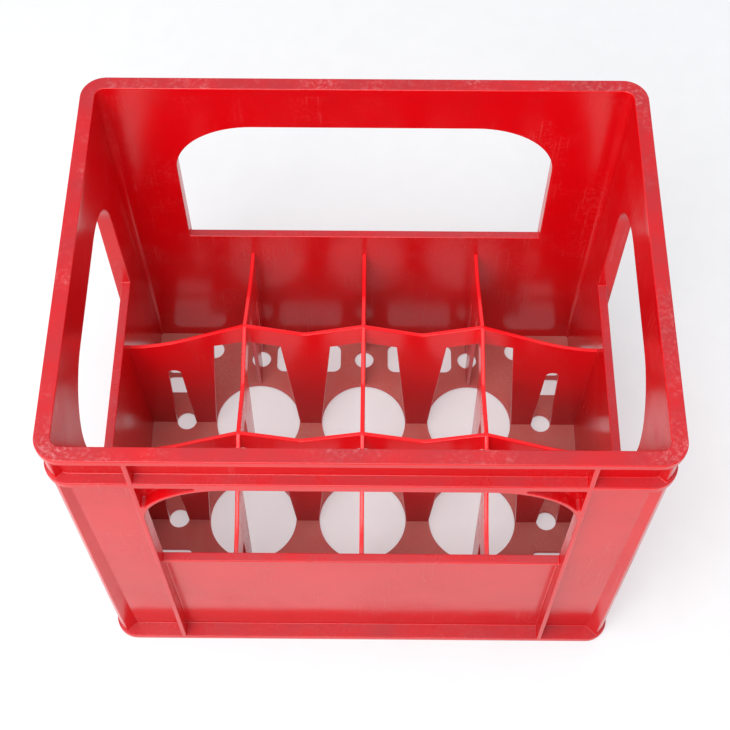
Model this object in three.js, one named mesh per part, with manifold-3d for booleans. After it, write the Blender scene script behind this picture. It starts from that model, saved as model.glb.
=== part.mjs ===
// Milk bottle crate: a one-colour moulded crate with twelve bottle cells, drafted walls, an arched
// opening in each wall, two flanges, a top rim and an egg-box of low dividers on a pierced floor.
// Millimetres, +Z up, X along the length; the origin is on the ground under the crate's centre.
import * as THREE from "three";
import { mergeVertices } from "three/addons/utils/BufferGeometryUtils.js";
import Module from "manifold-3d";

const wasm = await Module();
wasm.setup();

// Overall size
const crateLength = 400;
const crateWidth = 300;
const crateHeight = 340;

// Walls: every level is a rounded rectangle, and all of them share their four corner centres
const cornerX = 182.6;
const cornerY = 132.6;
const wallRadiusAtGround = 5.4;
const wallRadiusAtTop = 10;
const wallThickness = 3;
const outerRadius = crateLength / 2 - cornerX;

// Levels
const floorBottom = 2;
const floorTop = 5.5;
const footTop = 5.5;
const flangeBottom = 300.5;
const flangeTop = 307;
const rimBottom = 334;
const sillBottom = 156;
const sillTop = 160;

// Window frames: two ribs from foot to rim, with an arch sprung between them
const ribThickness = 3.5;
const archThickness = 3;
const longWindow = { half: 142.5, spring: 248, crown: 298, cornerWidth: 60 };
const shortWindow = { half: 92.5, spring: 245, crown: 292, cornerWidth: 50 };
const haunchWidth = 3;
const sillReach = 3.9;

// Corner fins
const finThickness = 6.4;

// Dividers
const cellPitch = 92.7;
const dividerThickness = 3.2;
const peakHeight = 171;
const valleyHeight = 158;
const wallEndHeight = 136;
const bandDepth = 23;
const shoulder = { out: 36, height: 154 };
const shoulderEnd = 70;
const archwayTopHalf = 26.5;
const archwayFloorHalf = 36.85;
const slotOffset = 63;
const slotTop = 99.5;
const slotTopHalf = 5.1;
const slotFloorHalf = 8.2;

// Floor openings
const bigHoleRadius = 36.5;
const smallHoleRadius = 8.5;
const longHole = { length: 57.4, width: 28.6, radius: 6.5, x: 49.9, y: 111 };
const cornerSlot = { length: 32, width: 16.5, radius: 4, x: 159, y: 82.75 };
const cornerHole = { length: 32, width: 33.2, radius: 4, x: 159, y: 111 };
const cornerToe = { length: 48, width: 18, radius: 8.8, x: 151, y: 118.6 };

// Clearance between pieces that meet on a drafted face, and the facets of each curve
const gap = 0.3;
const cornerSteps = 4;
const archSteps = 8;
const bigHoleSteps = 16;
const smallHoleSteps = 8;
const roundedHoleSteps = 3;
const crossingsX = [-cellPitch, 0, cellPitch];
const crossingsY = [-cellPitch / 2, cellPitch / 2];

const moulding = { color: 0xc3121a, roughness: 0.32, metalness: 0 };

// Solids

function solidFrom(geometry) {
  geometry.deleteAttribute("normal");
  geometry.deleteAttribute("uv");
  const merged = mergeVertices(geometry, 1e-4);
  return new wasm.Manifold(
    new wasm.Mesh({
      numProp: 3,
      vertProperties: merged.attributes.position.array,
      triVerts: new Uint32Array(merged.index.array),
    }),
  );
}

function addPiece(group, name, solid) {
  const made = solid.getMesh();
  const geometry = new THREE.BufferGeometry();
  geometry.setAttribute("position", new THREE.BufferAttribute(made.vertProperties, 3));
  geometry.setIndex(new THREE.BufferAttribute(made.triVerts, 1));
  geometry.computeVertexNormals();
  const mesh = new THREE.Mesh(geometry, new THREE.MeshStandardMaterial(moulding));
  mesh.name = name;
  group.add(mesh);
}

function block(x0, x1, y0, y1, z0, z1) {
  const geometry = new THREE.BoxGeometry(x1 - x0, y1 - y0, z1 - z0);
  geometry.translate((x0 + x1) / 2, (y0 + y1) / 2, (z0 + z1) / 2);
  return solidFrom(geometry);
}

function upright(shape, z0, z1, steps = cornerSteps) {
  const options = { depth: z1 - z0, bevelEnabled: false, curveSegments: steps };
  return solidFrom(new THREE.ExtrudeGeometry(shape, options).translate(0, 0, z0));
}

// A shape drawn in (X, Z), standing up and running from y0 to y1
function acrossY(shape, y0, y1) {
  const options = { depth: y1 - y0, bevelEnabled: false, curveSegments: archSteps };
  const geometry = new THREE.ExtrudeGeometry(shape, options);
  geometry.rotateX(Math.PI / 2);
  geometry.translate(0, y1, 0);
  return solidFrom(geometry);
}

// A quarter turn about Z, as whole numbers so that planes stay exact
const quarterTurn = [0, 1, 0, 0, -1, 0, 0, 0, 0, 0, 1, 0, 0, 0, 0, 1];

function turned(solid) {
  return solid.transform(quarterTurn);
}

// The crate's rounded rectangle, with its arcs about the shared corner centres
function levelOutline(radius) {
  const shape = new THREE.Shape();
  shape.moveTo(-cornerX, -cornerY - radius);
  shape.absarc(cornerX, -cornerY, radius, -Math.PI / 2, 0);
  shape.absarc(cornerX, cornerY, radius, 0, Math.PI / 2);
  shape.absarc(-cornerX, cornerY, radius, Math.PI / 2, Math.PI);
  shape.absarc(-cornerX, -cornerY, radius, Math.PI, Math.PI * 1.5);
  return shape;
}

function wallRadius(z) {
  return wallRadiusAtGround + ((wallRadiusAtTop - wallRadiusAtGround) * z) / crateHeight;
}

// The solid inside the walls' outer face, or inside that face moved inwards
function draftedCore(inset, z0, z1) {
  const topRadius = wallRadius(z1) - inset;
  const ratio = (wallRadius(z0) - inset) / topRadius;
  const options = { depth: z1 - z0, bevelEnabled: false, curveSegments: cornerSteps };
  const geometry = new THREE.ExtrudeGeometry(levelOutline(topRadius), options);
  geometry.translate(0, 0, z0);
  const points = geometry.attributes.position;
  for (let i = 0; i < points.count; i++) {
    if (points.getZ(i) > (z0 + z1) / 2) continue;
    const centreX = cornerX * Math.sign(points.getX(i));
    const centreY = cornerY * Math.sign(points.getY(i));
    points.setX(i, centreX + (points.getX(i) - centreX) * ratio);
    points.setY(i, centreY + (points.getY(i) - centreY) * ratio);
  }
  return solidFrom(geometry);
}

// How far a cutting solid runs past what it cuts
const over = 20;
const inside = draftedCore(wallThickness, -over, crateHeight + over);
const wallTube = draftedCore(0, 0, crateHeight).subtract(inside);
const envelope = upright(levelOutline(outerRadius), 0, crateHeight);

function ring(z0, z1) {
  const opening = upright(levelOutline(wallRadius(z1) + gap), z0 - 1, z1 + 1);
  return upright(levelOutline(outerRadius), z0, z1).subtract(opening);
}

// What the foot and the upper flange take from whatever stands out from the walls
function flangeRooms() {
  const room = (z0, z1) =>
    block(-crateLength, crateLength, -crateLength, crateLength, z0, z1).subtract(
      upright(levelOutline(wallRadius(z0)), z0 - 1, z1 + 1),
    );
  return room(0, footTop).add(room(flangeBottom, flangeTop));
}

const rooms = flangeRooms();

// Floor and flanges

function floorHoles() {
  const holes = [];
  const add = (shape, steps) => holes.push({ shape, steps });
  for (const y of crossingsY) {
    for (const x of crossingsX) add(circleShape(x, y, bigHoleRadius), bigHoleSteps);
    for (const end of [-1, 1]) {
      add(circleShape(end * (cellPitch + slotOffset), y, smallHoleRadius), smallHoleSteps);
    }
  }
  for (const side of [-1, 1]) {
    for (const x of crossingsX) {
      add(circleShape(x, side * (cellPitch / 2 + slotOffset), smallHoleRadius), smallHoleSteps);
    }
    for (const end of [-1, 1]) {
      for (const hole of [longHole, cornerSlot, cornerHole, cornerToe]) {
        add(roundedHoleShape(hole, end, side), roundedHoleSteps);
      }
    }
  }
  return holes;
}

function circleShape(x, y, radius) {
  const shape = new THREE.Shape();
  shape.absarc(x, y, radius, 0, Math.PI * 2);
  return shape;
}

function roundedHoleShape({ length, width, radius, x, y }, end, side) {
  const right = end * x + length / 2 - radius;
  const left = end * x - length / 2 + radius;
  const top = side * y + width / 2 - radius;
  const bottom = side * y - width / 2 + radius;
  const shape = new THREE.Shape();
  shape.absarc(right, bottom, radius, -Math.PI / 2, 0);
  shape.absarc(right, top, radius, 0, Math.PI / 2);
  shape.absarc(left, top, radius, Math.PI / 2, Math.PI);
  shape.absarc(left, bottom, radius, Math.PI, Math.PI * 1.5);
  return shape;
}

function floorPlate() {
  let plate = draftedCore(0, floorBottom, floorTop);
  for (const { shape, steps } of floorHoles()) {
    plate = plate.subtract(upright(shape, -1, floorTop + 1, steps));
  }
  return plate;
}

function topRim() {
  return upright(levelOutline(outerRadius), rimBottom, crateHeight).subtract(inside);
}

// Corners: the rounded corner of the wall between two window frames, with a fin on its diagonal

function cornerShell(end, side) {
  const span = (sign, from, to) => (sign > 0 ? [from, to] : [-to, -from]);
  const spanX = span(end, longWindow.half + ribThickness, crateLength);
  const spanY = span(side, shortWindow.half + ribThickness, crateWidth);
  const shell = wallTube.intersect(block(...spanX, ...spanY, floorTop, rimBottom));
  const blade = new THREE.BoxGeometry(crateWidth, finThickness, rimBottom - floorTop);
  blade.translate(crateWidth / 2, 0, (rimBottom + floorTop) / 2);
  blade.rotateZ(Math.atan2(side, end));
  blade.translate(end * cornerX, side * cornerY, 0);
  const fin = solidFrom(blade).intersect(envelope).subtract(inside).subtract(rooms);
  return shell.add(fin);
}

// Window frames, drawn for the front wall and turned for the others

function windowOutline(window, grow) {
  const half = window.half + grow;
  const width = window.cornerWidth + grow;
  const rise = window.crown - window.spring + grow;
  const shape = new THREE.Shape();
  shape.moveTo(-half, sillTop - crateHeight);
  shape.lineTo(half, sillTop - crateHeight);
  shape.absellipse(half - width, window.spring, width, rise, 0, Math.PI / 2, false, 0);
  shape.absellipse(-half + width, window.spring, width, rise, Math.PI / 2, Math.PI, false, 0);
  return shape;
}

// A long wall is drawn in the crate as it stands, a short wall in the crate after a quarter turn
function frameSpace(long) {
  const turn = (solid) => (long ? solid : turned(solid));
  const cornerDistance = long ? cornerY : cornerX;
  return {
    window: long ? longWindow : shortWindow,
    reach: (long ? crateWidth : crateLength) / 2,
    near: cornerDistance - over,
    cornerDistance,
    tube: turn(wallTube),
    inside: turn(inside),
    rooms: turn(rooms),
  };
}

function archBand(space) {
  const { half, spring } = space.window;
  const band = acrossY(windowOutline(space.window, archThickness), -space.reach, -space.near);
  const opening = acrossY(windowOutline(space.window, 0), -space.reach - 1, 0);
  return band
    .subtract(opening)
    .intersect(block(-half, half, -space.reach, 0, spring, flangeBottom))
    .subtract(space.inside);
}

function rib(space, side) {
  const { half } = space.window;
  const near = side > 0 ? half : -half - ribThickness;
  const post = block(near, near + ribThickness, -space.reach, -space.near, floorTop, rimBottom)
    .subtract(space.inside)
    .subtract(space.rooms);
  const edge = side > 0 ? half - haunchWidth : -half;
  const haunch = archBand(space).intersect(
    block(edge, edge + haunchWidth, -space.reach, 0, floorTop, rimBottom),
  );
  return post.add(haunch);
}

function arch(space) {
  const half = space.window.half - haunchWidth;
  return archBand(space).intersect(block(-half, half, -space.reach, 0, floorTop, rimBottom));
}

function header(space) {
  const { half, spring } = space.window;
  const opening = acrossY(windowOutline(space.window, archThickness), -space.reach - 1, 0);
  return space.tube
    .intersect(block(-half, half, -space.reach, -space.near, spring, rimBottom))
    .subtract(opening);
}

function sill(space) {
  const { half } = space.window;
  const lip = space.cornerDistance + wallRadius(sillTop) + sillReach;
  return block(-half, half, -lip, -space.near, sillBottom, sillTop).subtract(space.inside);
}

function lowerPanel(space) {
  const { half } = space.window;
  return space.tube.intersect(block(-half, half, -space.reach, -space.near, floorTop, sillBottom));
}

// Dividers: a wavy band on tapered legs, with an archway at each crossing and a slot in each end leg

function dividerOutline(crossings, end) {
  const last = crossings[crossings.length - 1];
  const shape = new THREE.Shape();
  shape.moveTo(-end, floorTop);
  for (const at of crossings) {
    shape.lineTo(at - archwayFloorHalf, floorTop);
    shape.lineTo(at - archwayTopHalf, bandBottom(archwayTopHalf));
    shape.lineTo(at, peakHeight - bandDepth);
    shape.lineTo(at + archwayTopHalf, bandBottom(archwayTopHalf));
    shape.lineTo(at + archwayFloorHalf, floorTop);
  }
  shape.lineTo(end, floorTop);
  shape.lineTo(end, wallEndHeight);
  shape.quadraticCurveTo(last + shoulderEnd, wallEndHeight, last + shoulder.out, shoulder.height);
  for (const at of [...crossings].reverse()) {
    shape.lineTo(at, peakHeight);
    if (at > crossings[0]) shape.lineTo(at - cellPitch / 2, valleyHeight);
  }
  shape.lineTo(-last - shoulder.out, shoulder.height);
  shape.quadraticCurveTo(-last - shoulderEnd, wallEndHeight, -end, wallEndHeight);
  return shape;
}

function bandBottom(distance) {
  const slope = (peakHeight - valleyHeight) / (cellPitch / 2);
  return peakHeight - bandDepth - slope * distance;
}

function slotOutline(at) {
  const shape = new THREE.Shape();
  shape.moveTo(at - slotFloorHalf, 0);
  shape.lineTo(at + slotFloorHalf, 0);
  shape.lineTo(at + slotTopHalf, slotTop - slotTopHalf);
  shape.absarc(at, slotTop - slotTopHalf, slotTopHalf, 0, Math.PI);
  return shape;
}

// Drawn in (X, Z) about y = 0 and clipped to the walls, then half-lapped over what it crosses
function divider(crossings, end, lapFrom, lapTo) {
  const half = dividerThickness / 2;
  const last = crossings[crossings.length - 1];
  let sheet = acrossY(dividerOutline(crossings, end), -half, half);
  for (const side of [-1, 1]) {
    sheet = sheet.subtract(acrossY(slotOutline(side * (last + slotOffset)), -over, over));
  }
  for (const at of crossings) {
    const lap = half + gap;
    sheet = sheet.subtract(block(at - lap, at + lap, -over, over, lapFrom, lapTo));
  }
  return sheet;
}

const lapLevel = peakHeight - bandDepth / 2;

function wallClearance() {
  return draftedCore(wallThickness + gap, 0, crateHeight);
}

function lengthwiseDivider(y) {
  const sheet = divider(crossingsX, crateLength / 2, lapLevel - gap / 2, crateHeight);
  return sheet.translate([0, y, 0]).intersect(wallClearance());
}

function crosswiseDivider(x) {
  const sheet = divider(crossingsY, crateWidth / 2, 0, lapLevel + gap / 2);
  return turned(sheet).translate([x, 0, 0]).intersect(wallClearance());
}

// The crate

function addWindowWall(group, { name, long, turns, ribs }) {
  const space = frameSpace(long);
  const add = (part, solid) => {
    let placed = solid;
    for (let i = 0; i < turns; i++) placed = turned(placed);
    addPiece(group, `${name}_${part}`, placed);
  };
  add("lower_panel", lowerPanel(space));
  add("sill", sill(space));
  add(`rib_${ribs[0]}`, rib(space, -1));
  add(`rib_${ribs[1]}`, rib(space, 1));
  add("arch", arch(space));
  add("header", header(space));
}

const crate = new THREE.Group();
addPiece(crate, "floor_plate", floorPlate());
addPiece(crate, "foot_flange", ring(0, footTop));
addPiece(crate, "upper_flange", ring(flangeBottom, flangeTop));
addPiece(crate, "top_rim", topRim());
addPiece(crate, "corner_front_left", cornerShell(-1, -1));
addPiece(crate, "corner_front_right", cornerShell(1, -1));
addPiece(crate, "corner_rear_left", cornerShell(-1, 1));
addPiece(crate, "corner_rear_right", cornerShell(1, 1));
addWindowWall(crate, { name: "front", long: true, turns: 0, ribs: ["left", "right"] });
addWindowWall(crate, { name: "right", long: false, turns: 1, ribs: ["front", "rear"] });
addWindowWall(crate, { name: "rear", long: true, turns: 2, ribs: ["right", "left"] });
addWindowWall(crate, { name: "left", long: false, turns: 3, ribs: ["rear", "front"] });
crossingsY.forEach((y, i) => {
  addPiece(crate, `lengthwise_divider_${["front", "rear"][i]}`, lengthwiseDivider(y));
});
crossingsX.forEach((x, i) => {
  addPiece(crate, `crosswise_divider_${["left", "middle", "right"][i]}`, crosswiseDivider(x));
});

export default crate;
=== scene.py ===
import math

import bmesh
import bpy
from mathutils import Matrix, Vector


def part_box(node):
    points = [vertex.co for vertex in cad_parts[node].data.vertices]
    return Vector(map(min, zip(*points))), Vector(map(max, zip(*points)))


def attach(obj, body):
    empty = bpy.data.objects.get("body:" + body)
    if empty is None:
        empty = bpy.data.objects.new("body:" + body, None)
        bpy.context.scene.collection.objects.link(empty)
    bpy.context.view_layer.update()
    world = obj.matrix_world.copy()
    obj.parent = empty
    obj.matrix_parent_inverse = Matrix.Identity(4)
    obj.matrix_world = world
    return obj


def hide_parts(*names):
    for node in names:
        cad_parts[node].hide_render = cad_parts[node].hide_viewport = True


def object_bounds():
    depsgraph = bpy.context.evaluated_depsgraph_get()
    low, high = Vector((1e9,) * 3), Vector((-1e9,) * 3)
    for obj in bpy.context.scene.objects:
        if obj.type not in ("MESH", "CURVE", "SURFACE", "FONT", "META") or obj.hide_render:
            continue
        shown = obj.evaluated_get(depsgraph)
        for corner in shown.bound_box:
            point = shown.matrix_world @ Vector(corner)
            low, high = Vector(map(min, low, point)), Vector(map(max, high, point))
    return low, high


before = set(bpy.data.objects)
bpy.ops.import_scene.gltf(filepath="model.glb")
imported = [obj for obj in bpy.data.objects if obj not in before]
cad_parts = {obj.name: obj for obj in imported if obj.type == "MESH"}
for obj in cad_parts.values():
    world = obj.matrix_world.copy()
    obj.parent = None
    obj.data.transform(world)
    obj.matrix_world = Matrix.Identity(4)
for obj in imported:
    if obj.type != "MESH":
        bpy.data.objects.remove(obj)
cadLow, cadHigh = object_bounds()
scene = bpy.context.scene
bodyName = "root"


# Every solid is a closed mesh in metres, in the crate's own frame
meshWork = {
    "weld": 2e-6,
    "flatAngle": 0.004, "flatNormal": 0.999,  # when faces count as one flat face
    "bevelSteps": 3, "bevelAngle": 32, "sharpAngle": 50,
    "normalWeight": 60,
    "leastSpread": 0.3,  # keeps a very sharp corner from moving far when its outline is pulled in
}


def newPiece(name, points, faces):
    mesh = bpy.data.meshes.new(name)
    mesh.from_pydata([tuple(p) for p in points], [], faces)
    piece = bpy.data.objects.new(name, mesh)
    scene.collection.objects.link(piece)
    return piece


def loft(name, rings):
    count = len(rings[0])
    points = [p for ring in rings for p in ring]
    faces = [tuple(range(count))[::-1], tuple(range(len(points) - count, len(points)))]
    for level in range(len(rings) - 1):
        first = level * count
        for i in range(count):
            j = (i + 1) % count
            faces.append((first + i, first + j, first + count + j, first + count + i))
    return newPiece(name, points, faces)


def prism(name, outline, low, high):
    return loft(name, [[(x, y, z) for x, y in outline] for z in (low, high)])


def sidePrism(name, outline, low, high):  # outline in (X, Z), running along Y
    return loft(name, [[(x, y, z) for x, z in outline] for y in (high, low)])


def block(name, low, high):
    corners = [(low[0], low[1]), (high[0], low[1]), (high[0], high[1]), (low[0], high[1])]
    return prism(name, corners, low[2], high[2])


def placed(piece, matrix):
    piece.data.transform(matrix)
    if matrix.determinant() < 0:
        piece.data.flip_normals()
    return piece


def settled(piece):  # the modifiers' result becomes the piece's own mesh
    bpy.context.view_layer.update()
    depsgraph = bpy.context.evaluated_depsgraph_get()
    mesh = bpy.data.meshes.new_from_object(piece.evaluated_get(depsgraph))
    piece.modifiers.clear()
    piece.data = mesh
    return piece


def combined(piece, tools, operation):
    for tool in tools:
        step = piece.modifiers.new(operation, "BOOLEAN")
        step.operation = operation
        step.solver = "MANIFOLD"
        step.object = tool
        settled(piece)
        bpy.data.objects.remove(tool)
    return piece


def merged(pieces):
    return combined(pieces[0], pieces[1:], "UNION")


def carved(piece, tools):
    return combined(piece, tools, "DIFFERENCE")


def flattened(piece):  # joins the triangles of each flat face
    shape = bmesh.new()
    shape.from_mesh(piece.data)
    bmesh.ops.remove_doubles(shape, verts=shape.verts, dist=meshWork["weld"])
    bmesh.ops.dissolve_limit(shape, angle_limit=meshWork["flatAngle"], verts=shape.verts, edges=shape.edges)
    shape.to_mesh(piece.data)
    shape.free()
    return piece


def rounded(piece, radius):
    step = piece.modifiers.new("rounding", "BEVEL")
    step.width = radius
    step.segments = meshWork["bevelSteps"]
    step.limit_method = "ANGLE"
    step.angle_limit = math.radians(meshWork["bevelAngle"])
    step.use_clamp_overlap = False
    step.miter_outer = "MITER_SHARP"
    step.harden_normals = False
    return settled(piece)


def evenShading(piece):  # smooth, with the sharp edges kept
    shape = bmesh.new()
    shape.from_mesh(piece.data)
    for face in shape.faces:
        face.smooth = True
    for edge in shape.edges:
        edge.smooth = edge.calc_face_angle(0) < math.radians(meshWork["sharpAngle"])
    shape.to_mesh(piece.data)
    shape.free()
    step = piece.modifiers.new("normals", "WEIGHTED_NORMAL")
    step.keep_sharp = True
    step.weight = meshWork["normalWeight"]
    return piece


def roundedOutline(corners, steps=6):  # each corner is x, y and the radius of its arc
    points = []
    for i, (x, y, radius) in enumerate(corners):
        here = Vector((x, y))
        before = (Vector(corners[i - 1][:2]) - here).normalized()
        after = (Vector(corners[(i + 1) % len(corners)][:2]) - here).normalized()
        if radius == 0 or abs(before.cross(after)) < 1e-6:
            points.append((x, y))
            continue
        half = before.angle(after) / 2
        middle = here + (before + after).normalized() * (radius / math.sin(half))
        first = here + before * (radius / math.tan(half)) - middle
        sweep = (math.pi - 2 * half) * (1 if before.cross(after) < 0 else -1)
        for k in range(steps + 1):
            point = first.copy()
            point.rotate(Matrix.Rotation(sweep * k / steps, 2))
            points.append(tuple(middle + point))
    return points


def pulledIn(outline, distance):  # moves an outline towards its left-hand side
    moved = []
    for i, point in enumerate(outline):
        before = (Vector(point) - Vector(outline[i - 1])).normalized()
        after = (Vector(outline[(i + 1) % len(outline)]) - Vector(point)).normalized()
        side = Vector((-before.y - after.y, before.x + after.x)).normalized()
        spread = max(meshWork["leastSpread"], side.dot(Vector((-after.y, after.x))))
        moved.append(tuple(Vector(point) + side * distance / spread))
    return moved


def edgeLevels(low, high, radius):  # each is how far in the outline lies, and its height
    turns = [math.pi / 2 * k / meshWork["bevelSteps"] for k in range(meshWork["bevelSteps"] + 1)]
    profile = [(radius * (1 - math.sin(turn)), radius * (1 - math.cos(turn))) for turn in turns]
    return ([(inset, low + rise) for inset, rise in profile]
            + [(inset, high - rise) for inset, rise in reversed(profile)])


def capped(shape, edges, up):  # fills one face of a plate and leaves its holes open
    made = bmesh.ops.triangle_fill(shape, use_beauty=True, edges=edges, normal=(0, 0, up))
    for face in made["geom"]:
        if isinstance(face, bmesh.types.BMFace):
            face.normal_update()
            if face.normal.z * up < 0:
                face.normal_flip()


def liesFlat(edge):
    faces = edge.link_faces
    return len(faces) == 2 and all(abs(face.normal.z) > meshWork["flatNormal"] for face in faces)


def plate(name, outline, holes, low, high, rounding, place=Matrix.Identity(4)):
    shape = bmesh.new()
    ends = ([], [])
    for loop in [outline] + [hole[::-1] for hole in holes]:
        rings = []
        for inset, z in edgeLevels(low, high, rounding):
            rings.append([shape.verts.new((x, y, z)) for x, y in pulledIn(loop, inset)])
        for lower, upper in zip(rings, rings[1:]):
            for i in range(len(loop)):
                j = (i + 1) % len(loop)
                shape.faces.new((lower[i], lower[j], upper[j], upper[i]))
        for end, edge in zip(ends, (rings[0], rings[-1])):
            end += [shape.edges.get((edge[i - 1], edge[i])) for i in range(len(edge))]
    for end, up in zip(ends, (-1, 1)):
        capped(shape, end, up)
    flatEdges = [edge for edge in shape.edges if liesFlat(edge)]
    bmesh.ops.dissolve_limit(shape, angle_limit=meshWork["flatAngle"], verts=[], edges=flatEdges)
    mesh = bpy.data.meshes.new(name)
    shape.to_mesh(mesh)
    shape.free()
    piece = bpy.data.objects.new(name, mesh)
    scene.collection.objects.link(piece)
    return placed(piece, place)


# The walls' levels are rounded rectangles that share their four corner centres

shell = {
    "cornerX": 0.1826, "cornerY": 0.1326,
    "radiusAtGround": 0.0054, "radiusAtTop": 0.010,
    "thickness": 0.003,
    "arcSteps": 6,
    "rounding": 0.0008,
    "bury": 0.003,  # how far the fins and ribs run into the rings
    "clear": 0.01,  # how far a cut starts outside the solid
}
outer = {"radius": cadHigh.x - shell["cornerX"], "arcSteps": 12}
corner = {"finHalf": 0.0032, "finRoot": 0.002, "setBack": 0.0018, "arcSteps": 3}


def evenAngles(steps):
    return [90 * i / steps for i in range(steps + 1)]


def levelOutline(radius, angles):
    points = []
    for quarter, (sx, sy) in enumerate(((1, -1), (1, 1), (-1, 1), (-1, -1))):
        for angle in angles:
            turn = math.radians(angle + 90 * (quarter - 1))
            points.append((sx * shell["cornerX"] + radius * math.cos(turn),
                           sy * shell["cornerY"] + radius * math.sin(turn)))
    return points


def wallRadius(z):
    share = z / cadHigh.z
    return shell["radiusAtGround"] + (shell["radiusAtTop"] - shell["radiusAtGround"]) * share


def draftedCore(name, inset, low, high):
    rings = []
    for z in (low, high):
        outline = levelOutline(wallRadius(z) - inset, evenAngles(shell["arcSteps"]))
        rings.append([(x, y, z) for x, y in outline])
    return loft(name, rings)


def ring(name, low, high):
    return prism(name, levelOutline(outer["radius"], evenAngles(outer["arcSteps"])), low, high)


def fin(end, side, low, high):
    half, radius = corner["finHalf"], outer["radius"] - corner["setBack"]
    spread = math.asin(half / radius)
    steps = corner["arcSteps"]
    turns = [spread * (2 * i / steps - 1) for i in range(steps + 1)]
    arc = [(radius * math.cos(turn), radius * math.sin(turn)) for turn in turns]
    outline = [(corner["finRoot"], -half)] + arc + [(corner["finRoot"], half)]
    slant = math.sqrt(0.5)
    points = [(end * (shell["cornerX"] + (u - v) * slant), side * (shell["cornerY"] + (u + v) * slant))
              for u, v in outline]
    return prism("fin", points if end * side > 0 else points[::-1], low, high)


windows = {
    "long": {"half": 0.1425, "spring": 0.248, "crown": 0.298, "cornerWidth": 0.060},
    "short": {"half": 0.0925, "spring": 0.245, "crown": 0.292, "cornerWidth": 0.050},
    "arcSteps": 18,
    "archThickness": 0.003,
    "ribThickness": 0.0035, "ribRoot": 0.008, "cutDepth": 0.03,
    "fillet": 0.003, "filletSteps": 4, "pocketRadius": 0.0012, "pocketSteps": 12,
    "sillReach": 0.0039, "overlap": 0.001,
}


def archPoint(window, turn, grow=0):  # on the arch, from 0 at the rib to a right angle at the crown
    width = window["cornerWidth"] + grow
    rise = window["crown"] - window["spring"] + grow
    return (window["half"] + grow - width + width * math.cos(turn), window["spring"] + rise * math.sin(turn))


def windowOutline(window, low):
    steps = windows["arcSteps"]
    arc = [archPoint(window, math.pi / 2 * i / steps) for i in range(steps + 1)]
    return [(-window["half"], low), (window["half"], low)] + arc + [(-x, z) for x, z in reversed(arc)]


def pocket(outline, reach, centre):  # cut in from outside as far as the wall's own face
    front = [(x, -reach - shell["clear"], z) for x, z in outline]
    return loft("pocket", [[(x, -centre - wallRadius(z), z) for x, y, z in front], front])


def archPockets(window, reach, centre, flangeBottom):  # between the arch, the ribs and the flange
    half, thick, fillet = window["half"], windows["archThickness"], windows["fillet"]
    rise = window["crown"] - window["spring"] + thick
    start = math.acos(1 - (thick + fillet) / (window["cornerWidth"] + thick))
    stop = math.asin(min(1, (flangeBottom - fillet - window["spring"]) / rise))
    steps, edge = windows["pocketSteps"], windows["pocketRadius"]
    curve = [archPoint(window, start + (stop - start) * i / steps, thick) for i in range(steps + 1)]
    tip = curve[0][1]
    outline = [(half - fillet, tip, edge), (half, tip, edge), (half, flangeBottom, edge)]
    if stop < math.pi / 2:  # the arch runs into the flange, with a pocket on each side
        outline += [(curve[-1][0], flangeBottom, edge), (*curve[-1], edge)]
        outline = roundedOutline(outline + [(*p, 0) for p in curve[-2:0:-1]], windows["filletSteps"])
        outlines = [outline, [(-x, z) for x, z in reversed(outline)]]
    else:  # the arch ends below the flange, with one pocket over it
        outline += [(-x, z, r) for x, z, r in reversed(outline)]
        outline += [(-x, z, 0) for x, z in curve[1:]] + [(x, z, 0) for x, z in curve[-1:0:-1]]
        outlines = [roundedOutline(outline, windows["filletSteps"])]
    return [pocket(o, reach, centre) for o in outlines]


def wallPockets(window, reach, centre, levels):
    half, overlap = window["half"], windows["overlap"]
    lip = centre + wallRadius(levels["sillTop"]) + windows["sillReach"]

    def span(low, high):
        return [(-half, low), (half, low), (half, high), (-half, high)]

    return archPockets(window, reach, centre, levels["flangeBottom"]) + [
        pocket(span(levels["footTop"], levels["sillBottom"]), reach, centre),
        pocket(span(levels["flangeTop"], levels["rimBottom"]), reach, centre),
        block("sillFront", (-half, -reach - shell["clear"], levels["sillBottom"] - overlap),
              (half, -lip, levels["sillTop"] + overlap))]


def crateLevels():
    levels = {"rimBottom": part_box("top_rim")[0].z, "footTop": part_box("foot_flange")[1].z}
    levels["flangeBottom"], levels["flangeTop"] = (v.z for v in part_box("upper_flange"))
    levels["sillBottom"], levels["sillTop"] = (v.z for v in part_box("front_sill"))
    return levels


def wallParts(levels):  # each wall's slab of ribs, and what is cut out of it
    slabs, cuts = [], []
    low, high = levels["footTop"] - shell["bury"], levels["rimBottom"] + shell["bury"]
    for window, reach, centre, turn in ((windows["long"], cadHigh.y, shell["cornerY"], 0),
                                        (windows["short"], cadHigh.x, shell["cornerX"], 90)):
        root = centre - windows["ribRoot"]
        width = window["half"] + windows["ribThickness"]
        for opposite in (0, 180):
            quarter = Matrix.Rotation(math.radians(turn + opposite), 4, "Z")
            slabs.append(placed(block("slab", (-width, -reach, low), (width, -root, high)), quarter))
            made = wallPockets(window, reach, centre, levels)
            made.append(sidePrism("opening", windowOutline(window, levels["sillTop"]),
                                  -reach - shell["clear"], -root + windows["cutDepth"]))
            cuts += [placed(cut, quarter) for cut in made]
    return slabs, cuts


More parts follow.
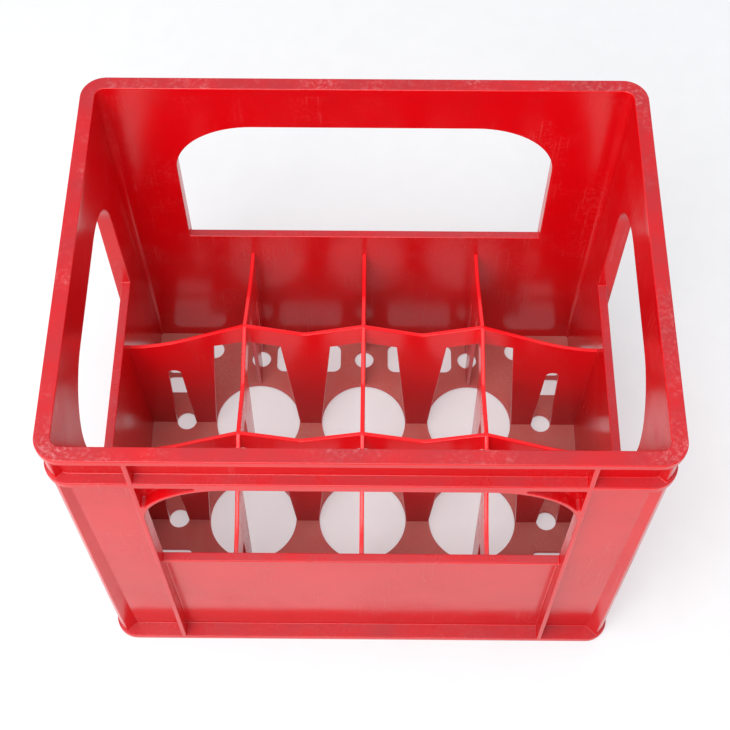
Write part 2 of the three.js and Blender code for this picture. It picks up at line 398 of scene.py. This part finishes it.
def makeShell(levels):
    top, bury, clear = cadHigh.z, shell["bury"], shell["clear"]
    parts = [draftedCore("core", 0, 0, top),
             ring("foot", 0, levels["footTop"]),
             ring("flange", levels["flangeBottom"], levels["flangeTop"]),
             ring("rim", levels["rimBottom"], top)]
    for end in (-1, 1):
        for side in (-1, 1):
            parts.append(fin(end, side, levels["footTop"] - bury, levels["rimBottom"] + bury))
    slabs, cuts = wallParts(levels)
    body = merged(parts + slabs)
    body.name = "crateShell"
    carved(body, [draftedCore("inside", shell["thickness"], -clear, top + clear)] + cuts)
    flattened(body)
    print("shell joined:", len(body.data.vertices), "points")
    rounded(body, shell["rounding"])
    print("shell rounded:", len(body.data.vertices), "points")
    return body


wallEnds = {
    "front": ("left", "right"), "right": ("front", "rear"),
    "rear": ("left", "right"), "left": ("front", "rear"),
}
seams = {
    "beyondEdge": 0.0014, "besideRib": 0.0013,  # the cuts lie just past the roundings, on flat faces
    "middle": 0.08,  # a wall's cut stops this far from the crate's middle
    "far": 1.0,
}


def cutOut(body, name, spans):  # a region of the moulding as a closed piece of its own
    piece = bpy.data.objects.new(name, body.data.copy())
    scene.collection.objects.link(piece)
    combined(piece, [merged([block("span", low, high) for low, high in spans])], "INTERSECT")
    return flattened(piece)


def cutTurned(body, name, spans, turn):
    turned = []
    for low, high in spans:
        a, b = turn @ Vector(low), turn @ Vector(high)
        turned.append((tuple(min(p, q) for p, q in zip(a, b)), tuple(max(p, q) for p, q in zip(a, b))))
    return cutOut(body, name, turned)


def shellPieces(body, levels):
    past, far = seams["beyondEdge"], seams["far"]
    foot, neck = levels["footTop"] + past, levels["rimBottom"] - past
    under, over = levels["flangeBottom"] - past, levels["flangeTop"] + past
    made = []
    for name, node, low, high, slot in (("topRim", "top_rim", neck, far, "rim_plastic"),
                                        ("upperFlange", "upper_flange", under, over, "wall_plastic"),
                                        ("footFlange", "foot_flange", -far, foot, "wall_plastic")):
        made.append((cutOut(body, name, [((-far, -far, low), (far, far, high))]), [node], slot))
    bands = ((foot, under), (over, neck))
    ribEnds = {w: windows[w]["half"] + windows["ribThickness"] + past for w in ("long", "short")}
    made += cornerPieces(body, bands, ribEnds) + wallPieces(body, levels, bands, ribEnds)
    bpy.data.objects.remove(body)
    return made


def cornerPieces(body, bands, ribEnds):
    made, far = [], seams["far"]
    for y, depth in ((-1, "front"), (1, "rear")):
        for x, side in ((-1, "left"), (1, "right")):
            x0, x1 = sorted((x * ribEnds["long"], x * far))
            y0, y1 = sorted((y * ribEnds["short"], y * far))
            piece = cutOut(body, "corner" + depth.title() + side.title(),
                           [((x0, y0, low), (x1, y1, high)) for low, high in bands])
            made.append((piece, ["corner_" + depth + "_" + side], "wall_plastic"))
    return made


def wallPieces(body, levels, bands, ribEnds):
    made, far, middle = [], seams["far"], -seams["middle"]
    (foot, under), (over, neck) = bands
    panelTop = levels["sillTop"] + seams["besideRib"]
    for turn, wall in enumerate(("front", "right", "rear", "left")):
        kind = ("long", "short")[turn % 2]
        inner, reach = windows[kind]["half"] - seams["besideRib"], ribEnds[kind]
        panel = [((-inner, -far, foot), (inner, middle, panelTop))]
        around = [((-reach, -far, foot), (-inner, middle, panelTop)),
                  ((inner, -far, foot), (reach, middle, panelTop)),
                  ((-reach, -far, panelTop), (reach, middle, under)),
                  ((-reach, -far, over), (reach, middle, neck))]
        quarter = Matrix.Rotation(math.radians(90 * turn), 4, "Z")
        ribs = [wall + "_rib_" + end for end in wallEnds[wall]]
        made.append((cutTurned(body, wall + "Panel", panel, quarter),
                     [wall + "_lower_panel", wall + "_sill"], "wall_plastic"))
        made.append((cutTurned(body, wall + "Frame", around, quarter),
                     ribs + [wall + "_arch", wall + "_header"], "wall_plastic"))
    return made


levels = crateLevels()
pieces = shellPieces(makeShell(levels), levels)
print("shell parted:", len(pieces), "pieces")


floorHoles = {
    "pitch": 0.0927,
    "bigRadius": 0.0365, "bigSteps": 64,
    "smallRadius": 0.0085, "smallSteps": 28, "smallOffset": 0.063,
    "long": {"length": 0.0574, "width": 0.0286, "radius": 0.0065, "x": 0.0499, "y": 0.111},
    "slot": {"length": 0.032, "width": 0.0165, "radius": 0.004, "x": 0.159, "y": 0.08275},
    "corner": {"out": 0.175, "inner": 0.143, "toe": 0.127, "near": 0.0944, "step": 0.1096, "far": 0.1276,
               "radius": 0.004, "farRadius": 0.008, "toeRadius": 0.0088},
    "rounding": 0.0006,
    "inWall": 0.0015,
}


def circle(x, y, radius, steps):
    turns = [2 * math.pi * i / steps for i in range(steps)]
    return [(x + radius * math.cos(turn), y + radius * math.sin(turn)) for turn in turns]


def mirrored(outline, end, side):
    points = [(end * x, side * y) for x, y in outline]
    return points if end * side > 0 else points[::-1]


def barHole(x, y, length, width, radius):
    return roundedOutline([(x + sx * length / 2, y + sy * width / 2, radius)
                           for sx, sy in ((-1, -1), (1, -1), (1, 1), (-1, 1))])


def cornerHole():  # an L: its long side lies by the end wall and its toe points to the middle
    h = floorHoles["corner"]
    return roundedOutline([(h["out"], h["near"], h["radius"]), (h["out"], h["far"], h["farRadius"]),
                           (h["toe"], h["far"], h["toeRadius"]), (h["toe"], h["step"], h["toeRadius"]),
                           (h["inner"], h["step"], h["radius"]), (h["inner"], h["near"], h["radius"])])


def holeOutlines():
    h = floorHoles
    pitch, offset = h["pitch"], h["smallOffset"]
    holes = []
    for side in (-1, 1):
        y = side * pitch / 2
        for x in (-pitch, 0, pitch):
            holes.append(circle(x, y, h["bigRadius"], h["bigSteps"]))
            holes.append(circle(x, side * (pitch / 2 + offset), h["smallRadius"], h["smallSteps"]))
        for end in (-1, 1):
            holes.append(circle(end * (pitch + offset), y, h["smallRadius"], h["smallSteps"]))
            for hole in (barHole(**h["long"]), barHole(**h["slot"]), cornerHole()):
                holes.append(mirrored(hole, end, side))
    return holes


def makeFloor():
    low, high = (v.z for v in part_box("floor_plate"))
    edge = levelOutline(wallRadius(high) - floorHoles["inWall"], evenAngles(shell["arcSteps"]))
    made = plate("floorPlate", edge, holeOutlines(), low, high, floorHoles["rounding"])
    print("floor made:", len(made.data.vertices), "points")
    return made


pieces.append((makeFloor(), ["floor_plate"], "floor_plastic"))


dividers = {
    "thickness": 0.0032,
    "peak": 0.171, "valley": 0.158, "wallEnd": 0.136, "band": 0.023,
    "shoulderOut": 0.036, "shoulderHeight": 0.154, "shoulderEnd": 0.070,
    "archwayTop": 0.0265, "archwayFloor": 0.03685,
    "slotOffset": 0.063, "slotTop": 0.0995, "slotTopHalf": 0.0051, "slotFloorHalf": 0.0082,
    "slotSteps": 12, "sweepSteps": 14,
    "peakRadius": 0.004, "valleyRadius": 0.012, "archwayRadius": 0.0015,
    "rounding": 0.0007,
    "inWall": 0.0015, "inFloor": 0.001,
}


def slotCorners(at, low):  # an arched slot, open to the floor
    d = dividers
    half, centre = d["slotTopHalf"], d["slotTop"] - d["slotTopHalf"]
    corners = [(at - d["slotFloorHalf"], low, 0)]
    for i in range(d["slotSteps"] + 1):
        turn = math.pi * (1 - i / d["slotSteps"])
        corners.append((at + half * math.cos(turn), centre + half * math.sin(turn), 0))
    return corners + [(at + d["slotFloorHalf"], low, 0)]


def endSweep(start, handle, stop):  # the top's long curve, from the wall up to the last crossing
    points = []
    for i in range(1, dividers["sweepSteps"] + 1):
        t = 1 - i / dividers["sweepSteps"]
        x, z = ((1 - t) ** 2 * a + 2 * t * (1 - t) * b + t * t * c for a, b, c in zip(start, handle, stop))
        points.append((x, z, 0))
    return points


def dividerOutline(crossings, wallCentre, low):
    d = dividers
    last = crossings[-1]
    end = wallCentre - shell["thickness"] + d["inWall"]
    slope = (d["peak"] - d["valley"]) / (floorHoles["pitch"] / 2)
    under = d["peak"] - d["band"] - slope * d["archwayTop"]
    foot, top = end + wallRadius(low), end + wallRadius(d["wallEnd"])
    notch = slotCorners(last + d["slotOffset"], low)
    corners = [(-foot, low, 0)] + [(-x, z, radius) for x, z, radius in reversed(notch)]
    for at in crossings:
        corners += [(at - d["archwayFloor"], low, 0), (at - d["archwayTop"], under, d["archwayRadius"]),
                    (at, d["peak"] - d["band"], d["peakRadius"]),
                    (at + d["archwayTop"], under, d["archwayRadius"]), (at + d["archwayFloor"], low, 0)]
    corners += notch + [(foot, low, 0), (top, d["wallEnd"], 0)]
    sweep = endSweep((last + d["shoulderOut"], d["shoulderHeight"]),
                     (last + d["shoulderEnd"], d["wallEnd"]), (top, d["wallEnd"]))
    corners += sweep
    for at in reversed(crossings):
        corners.append((at, d["peak"], d["peakRadius"]))
        if at > crossings[0]:
            corners.append((at - floorHoles["pitch"] / 2, d["valley"], d["valleyRadius"]))
    corners += [(-x, z, 0) for x, z, radius in reversed(sweep)]
    corners.append((-top, d["wallEnd"], 0))
    return roundedOutline(corners)


def makeDivider(name, crossings, wallCentre, place):
    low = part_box("floor_plate")[1].z - dividers["inFloor"]
    outline = dividerOutline(crossings, wallCentre, low)
    half = dividers["thickness"] / 2
    standing = Matrix.Rotation(math.pi / 2, 4, "X")  # drawn flat, then stood up
    return plate(name, outline, [], -half, half, dividers["rounding"], place @ standing)


pitch = floorHoles["pitch"]
for label, y in (("Front", -pitch / 2), ("Rear", pitch / 2)):
    place = Matrix.Translation((0, y, 0))
    piece = makeDivider("lengthwiseDivider" + label, (-pitch, 0, pitch), shell["cornerX"], place)
    pieces.append((piece, ["lengthwise_divider_" + label.lower()], "divider_plastic"))
for label, x in (("Left", -pitch), ("Middle", 0), ("Right", pitch)):
    place = Matrix.Translation((x, 0, 0)) @ Matrix.Rotation(math.pi / 2, 4, "Z")
    piece = makeDivider("crosswiseDivider" + label, (-pitch / 2, pitch / 2), shell["cornerY"], place)
    pieces.append((piece, ["crosswise_divider_" + label.lower()], "divider_plastic"))
print("dividers made:", len(pieces), "pieces in all")


def nodeGroup(name, inputs, outputs):
    group = bpy.data.node_groups.new(name, "ShaderNodeTree")
    for label, kind, value in inputs:
        socket = group.interface.new_socket(label, in_out="INPUT", socket_type="NodeSocket" + kind)
        socket.default_value = value
    for label, kind in outputs:
        group.interface.new_socket(label, in_out="OUTPUT", socket_type="NodeSocket" + kind)
    return group, group.nodes.new("NodeGroupInput"), group.nodes.new("NodeGroupOutput")


def node(tree, kind, links=(), **values):  # links are (input, the socket that feeds it)
    made = tree.nodes.new("ShaderNode" + kind)
    for label, value in values.items():
        if hasattr(made, label):
            setattr(made, label, value)
        else:
            made.inputs[label.replace("_", " ")].default_value = value
    for label, source in links:
        tree.links.new(source, made.inputs[label])
    return made


def computed(tree, operation, *terms):  # a Math node, fed by numbers and sockets
    made = node(tree, "Math", operation=operation)
    for i, term in enumerate(terms):
        if isinstance(term, (int, float)):
            made.inputs[i].default_value = term
        else:
            tree.links.new(term, made.inputs[i])
    return made.outputs[0]


def blended(tree, share, first, second):  # the second is a colour or a socket
    mixed = node(tree, "Mix", data_type="RGBA")
    tree.links.new(share, mixed.inputs[0])
    tree.links.new(first, mixed.inputs[6])
    if isinstance(second, tuple):
        mixed.inputs[7].default_value = (*second, 1)
    else:
        tree.links.new(second, mixed.inputs[7])
    return mixed.outputs[2]


def faded(tree, source, low, high):  # 0 below low, 1 above high
    return node(tree, "MapRange", [("Value", source)], interpolation_type="SMOOTHSTEP",
                From_Min=low, From_Max=high).outputs["Result"]


def noise(tree, scale, detail=3, roughness=0.5):
    place = node(tree, "TexCoord").outputs["Object"]
    made = node(tree, "TexNoise", [("Vector", place)], Scale=scale, Detail=detail, Roughness=roughness)
    return made.outputs["Fac"]


clouds = {
    "broadTone": {"scale": 9, "detail": 4, "roughness": 0.5, "low": 0.35, "high": 0.7},
    "fineTone": {"scale": 70, "detail": 5, "roughness": 0.65, "low": 0.3, "high": 0.75},
    "rubSpots": {"scale": 330, "detail": 6, "roughness": 0.75, "low": 0.46, "high": 0.66},
    "rubPatches": {"scale": 17, "detail": 5, "roughness": 0.62, "low": 0.45, "high": 0.66},
    "filmClouds": {"scale": 26, "detail": 6, "roughness": 0.65, "low": 0.25, "high": 0.75},
}
effectValues = {
    "fineShare": 0.35,  # of the tone's change that is fine mottle
    "hairLow": 0.62, "hairHigh": 0.70,
    "waveScale": 14, "grainScale": 620, "grainRoughness": 0.6,
    "upLow": 0.75, "upHigh": 0.99, "leastFilm": 0.45,
    # the painted shade low in the cells: how its edge wavers, and the height where it is darkest
    "wanderScale": 13, "wander": 0.06, "darkestBelow": 0.01,
}


def cloud(tree, name):
    c = clouds[name]
    return faded(tree, noise(tree, c["scale"], c["detail"], c["roughness"]), c["low"], c["high"])


def toneGroup():  # slow changes of tone through the moulding, with a fine mottle
    group, inside, outside = nodeGroup("plasticTone", [
        ("Fresh", "Color", (1, 0, 0, 1)), ("Faded", "Color", (1, 0.1, 0.1, 1)), ("Amount", "Float", 0.5)],
        [("Colour", "Color"), ("Cloud", "Float")])
    fineShare = effectValues["fineShare"]
    broad = computed(group, "MULTIPLY", cloud(group, "broadTone"), 1 - fineShare)
    both = computed(group, "MULTIPLY_ADD", cloud(group, "fineTone"), fineShare, broad)
    share = computed(group, "MULTIPLY", both, inside.outputs["Amount"])
    colour = blended(group, share, inside.outputs["Fresh"], inside.outputs["Faded"])
    group.links.new(colour, outside.inputs["Colour"])
    group.links.new(both, outside.inputs["Cloud"])
    return group


def scuffGroup():  # pale rub marks in patches: a fine mottle, and hairlines along one way
    group, inside, outside = nodeGroup("rubMarks", [
        ("Mottle", "Float", 0.5), ("Hairs", "Float", 0.2), ("Cover", "Float", 0.5),
        ("Grain", "Vector", (600, 600, 12))], [("Marks", "Float"), ("Patches", "Float")])
    place = node(group, "TexCoord").outputs["Object"]
    along = node(group, "VectorMath", [(0, place), (1, inside.outputs["Grain"])], operation="MULTIPLY")
    lines = node(group, "TexNoise", [("Vector", along.outputs[0])], Scale=1, Detail=1).outputs["Fac"]
    lines = faded(group, lines, effectValues["hairLow"], effectValues["hairHigh"])
    hairs = computed(group, "MULTIPLY", lines, inside.outputs["Hairs"])
    mottle = computed(group, "MULTIPLY", cloud(group, "rubSpots"), inside.outputs["Mottle"])
    cover = computed(group, "MULTIPLY", cloud(group, "rubPatches"), inside.outputs["Cover"])
    marks = computed(group, "MULTIPLY", computed(group, "MAXIMUM", hairs, mottle), cover)
    group.links.new(marks, outside.inputs["Marks"])
    group.links.new(cover, outside.inputs["Patches"])
    return group


def surfaceGroup():  # the height of the moulded surface: long sink waves under a fine grain
    group, inside, outside = nodeGroup("mouldedSurface", [
        ("Waves", "Float", 0.5), ("Grain", "Float", 0.1), ("Scratch Depth", "Float", 0.0),
        ("Scratches", "Float", 0.0)], [("Height", "Float")])
    waves = noise(group, effectValues["waveScale"], detail=1)
    grain = noise(group, effectValues["grainScale"], roughness=effectValues["grainRoughness"])
    waves = computed(group, "MULTIPLY", waves, inside.outputs["Waves"])
    grain = computed(group, "MULTIPLY", grain, inside.outputs["Grain"])
    cuts = computed(group, "MULTIPLY", inside.outputs["Scratches"], inside.outputs["Scratch Depth"])
    height = computed(group, "SUBTRACT", computed(group, "ADD", waves, grain), cuts)
    group.links.new(height, outside.inputs["Height"])
    return group


def filmGroup():  # the dull film on faces that look up, in clouds
    group, inside, outside = nodeGroup("dullFilm", [("Amount", "Float", 0.5)],
                                       [("Film", "Float"), ("Upward", "Float")])
    facing = node(group, "NewGeometry").outputs["Normal"]
    facing = node(group, "SeparateXYZ", [("Vector", facing)]).outputs["Z"]
    up = faded(group, facing, effectValues["upLow"], effectValues["upHigh"])
    least = effectValues["leastFilm"]
    thickness = computed(group, "MULTIPLY_ADD", cloud(group, "filmClouds"), 1 - least, least)
    film = computed(group, "MULTIPLY", up, thickness)
    group.links.new(computed(group, "MULTIPLY", film, inside.outputs["Amount"]), outside.inputs["Film"])
    group.links.new(up, outside.inputs["Upward"])
    return group


def depthShadeGroup():  # painted shade deep in the cells: the lower a wall lies, the darker its colour is painted
    group, inside, outside = nodeGroup("cellDepthShade", [
        ("Clean Above", "Float", 0.15), ("Dull Below", "Float", 0.0), ("Amount", "Float", 0.5)],
        [("Depth Shade", "Float")])
    place = node(group, "TexCoord").outputs["Object"]
    level = node(group, "SeparateXYZ", [("Vector", place)]).outputs["Z"]
    wander = noise(group, effectValues["wanderScale"], detail=4)
    level = computed(group, "MULTIPLY_ADD", wander, effectValues["wander"], level)
    share = node(group, "MapRange", [("Value", level), ("From Min", inside.outputs["Clean Above"]),
                                     ("From Max", inside.outputs["Dull Below"])],
                 interpolation_type="SMOOTHSTEP")
    depthShade = computed(group, "MULTIPLY", share.outputs["Result"], inside.outputs["Amount"])
    group.links.new(depthShade, outside.inputs["Depth Shade"])
    return group


effects = {"tone": toneGroup(), "scuffs": scuffGroup(), "surface": surfaceGroup(), "film": filmGroup(),
           "depthShade": depthShadeGroup()}
print("effects made:", len(effects))

# Each look also sets the painted shade low in the cells: the height below which it starts, and its strength
plastics = {
    "wall_plastic": {
        "fresh": (0.66, 0.001, 0.004), "faded": (0.54, 0.003, 0.006), "change": 0.8,
        "mottle": 0.25, "hairs": 0.35, "cover": 0.35, "markColour": (0.75, 0.25, 0.26), "rubbedOnTop": False,
        "film": 0.8, "filmColour": (0.36, 0.042, 0.050), "gloss": 0.15, "dulled": 0.2,
        "unshadedAbove": 0.22, "depthShade": 0.12,
        "waves": 0.9, "grain": 0.012, "scratch": 0.02},
    "rim_plastic": {
        "fresh": (0.66, 0.001, 0.004), "faded": (0.54, 0.003, 0.006), "change": 0.8,
        "mottle": 0.5, "hairs": 0.3, "cover": 0.7, "markColour": (0.68, 0.34, 0.34), "rubbedOnTop": True,
        "film": 0.95, "filmColour": (0.36, 0.018, 0.024), "gloss": 0.17, "dulled": 0.25,
        "unshadedAbove": 0.2, "depthShade": 0.0,
        "waves": 0.9, "grain": 0.015, "scratch": 0.05},
    "divider_plastic": {
        "fresh": (0.95, 0.002, 0.008), "faded": (0.86, 0.004, 0.010), "change": 0.8,
        "mottle": 0.2, "hairs": 0.3, "cover": 0.3, "markColour": (0.75, 0.22, 0.22), "rubbedOnTop": False,
        "film": 0.2, "filmColour": (0.75, 0.10, 0.10), "gloss": 0.15, "dulled": 0.2,
        "unshadedAbove": 0.205, "depthShade": 0.75,
        "waves": 0.8, "grain": 0.012, "scratch": 0.02},
    "floor_plastic": {
        "fresh": (0.66, 0.060, 0.060), "faded": (0.54, 0.100, 0.090), "change": 1.0,
        "mottle": 0.5, "hairs": 0.2, "cover": 0.6, "markColour": (0.72, 0.36, 0.33), "rubbedOnTop": False,
        "film": 0.8, "filmColour": (0.56, 0.22, 0.185), "gloss": 0.28, "dulled": 0.3,
        "unshadedAbove": 0.05, "depthShade": 0.25,
        "waves": 0.6, "grain": 0.03, "scratch": 0.04},
}
allPlastic = {
    "ior": 1.42,
    "bumpStrength": 0.5, "bumpDistance": 0.001,
    "cloudRoughness": 0.06,
    # the colour of the painted shade low in the cells
    "depthShadeColour": (0.34, 0.035, 0.040),
}


def placeGroup(tree, effect, links=(), **values):
    made = tree.nodes.new("ShaderNodeGroup")
    made.node_tree = effects[effect]
    for label, value in values.items():
        made.inputs[label.replace("_", " ")].default_value = value
    for label, source in links:
        tree.links.new(source, made.inputs[label])
    return made.outputs


def plastic(slot, look):
    material = bpy.data.materials.new(slot)
    material.use_nodes = True
    tree = material.node_tree
    shader = tree.nodes["Principled BSDF"]
    tone = placeGroup(tree, "tone", Fresh=(*look["fresh"], 1), Faded=(*look["faded"], 1),
                      Amount=look["change"])
    scuffs = placeGroup(tree, "scuffs", Mottle=look["mottle"], Hairs=look["hairs"], Cover=look["cover"])
    film = placeGroup(tree, "film", Amount=look["film"])
    # painted shade, darker the lower a surface lies in the cells
    depthShade = placeGroup(tree, "depthShade", Clean_Above=look["unshadedAbove"], Dull_Below=effectValues["darkestBelow"],
                       Amount=look["depthShade"])
    marks, patches = scuffs["Marks"], scuffs["Patches"]
    if look["rubbedOnTop"]:  # rubbed only where the next crate stands
        marks = computed(tree, "MULTIPLY", marks, film["Upward"])
        patches = computed(tree, "MULTIPLY", patches, film["Upward"])
    height = placeGroup(tree, "surface", [("Scratches", marks)], Waves=look["waves"], Grain=look["grain"],
                        Scratch_Depth=look["scratch"])["Height"]
    # the painted shade deep in the cells darkens the tone
    colour = blended(tree, depthShade["Depth Shade"], tone["Colour"], allPlastic["depthShadeColour"])
    colour = blended(tree, film["Film"], colour, look["filmColour"])
    colour = blended(tree, marks, colour, look["markColour"])
    worn = computed(tree, "MAXIMUM", film["Film"], patches)
    rough = computed(tree, "MULTIPLY_ADD", worn, look["dulled"], look["gloss"])
    rough = computed(tree, "MULTIPLY_ADD", tone["Cloud"], allPlastic["cloudRoughness"], rough)
    bump = node(tree, "Bump", [("Height", height)], Strength=allPlastic["bumpStrength"],
                Distance=allPlastic["bumpDistance"])
    tree.links.new(colour, shader.inputs["Base Color"])
    tree.links.new(rough, shader.inputs["Roughness"])
    tree.links.new(bump.outputs["Normal"], shader.inputs["Normal"])
    shader.inputs["IOR"].default_value = allPlastic["ior"]
    return material


materials = {slot: plastic(slot, look) for slot, look in plastics.items()}
print("plastics made:", len(materials))

for piece, nodes, slot in pieces:
    piece.data.materials.clear()
    piece.data.materials.append(materials[slot])
    evenShading(piece)
    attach(piece, bodyName)
    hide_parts(*nodes)


paper = {
    "half": 9, "drop": 0.0002,  # just under the crate's foot
    "shade": 0.5, "change": 0.02, "changeScale": 40,
    "roughness": 0.9, "specular": 0.1, "glow": 0.38,
}
air = {"colour": (0.95, 0.97, 1, 1), "strength": 0.66}
lights = {
    "keyLight": {"place": (-1.1, -0.5, 1.6), "energy": 12, "size": 1.2},
    "frontLight": {"place": (-0.35, -1.1, 1.75), "energy": 28, "size": 1.2},
    "topLight": {"place": (0, -0.1, 2.1), "energy": 6, "size": 0.9},
}
lightsAim = (0, 0.05, 0.2)
view = {"place": (0.00583, -0.50368, 1.10227), "tilt": 28.97, "turn": 0.48, "lens": 68.53, "sensor": 36}


def makeGround():
    half = paper["half"]
    ground = newPiece("ground", [(-half, -half, 0), (half, -half, 0), (half, half, 0), (-half, half, 0)],
                      [(0, 1, 2, 3)])
    ground.location.z = -paper["drop"]
    material = bpy.data.materials.new("groundPaper")
    material.use_nodes = True
    tree = material.node_tree
    shader = tree.nodes["Principled BSDF"]
    tone = node(tree, "MapRange", [("Value", noise(tree, paper["changeScale"], detail=4))],
                To_Min=paper["shade"] - paper["change"], To_Max=paper["shade"] + paper["change"])
    tree.links.new(tone.outputs["Result"], shader.inputs["Base Color"])
    shader.inputs["Roughness"].default_value = paper["roughness"]
    shader.inputs["Specular IOR Level"].default_value = paper["specular"]
    shader.inputs["Emission Color"].default_value = air["colour"]
    shader.inputs["Emission Strength"].default_value = paper["glow"]
    ground.data.materials.append(material)


def makeAir():
    world = bpy.data.worlds.new("studio")
    scene.world = world
    world.use_nodes = True
    world.node_tree.nodes["Background"].inputs["Color"].default_value = air["colour"]
    world.node_tree.nodes["Background"].inputs["Strength"].default_value = air["strength"]


def makeLight(name, place, energy, size):
    lightData = bpy.data.lights.new(name, "AREA")
    lightData.energy = energy
    lightData.size = size
    light = bpy.data.objects.new(name, lightData)
    light.location = place
    light.rotation_euler = (Vector(lightsAim) - light.location).to_track_quat("-Z", "Y").to_euler()
    scene.collection.objects.link(light)


def makeCamera():
    cameraData = bpy.data.cameras.new("camera")
    cameraData.lens = view["lens"]
    cameraData.sensor_width = view["sensor"]
    camera = bpy.data.objects.new("camera", cameraData)
    camera.location = view["place"]
    camera.rotation_euler = (math.radians(view["tilt"]), 0, math.radians(view["turn"]))
    scene.collection.objects.link(camera)
    scene.camera = camera
    scene.view_settings.view_transform = "Standard"


makeGround()
makeAir()
for name, light in lights.items():
    makeLight(name, **light)
makeCamera()
print("studio made:", len(lights), "lights")
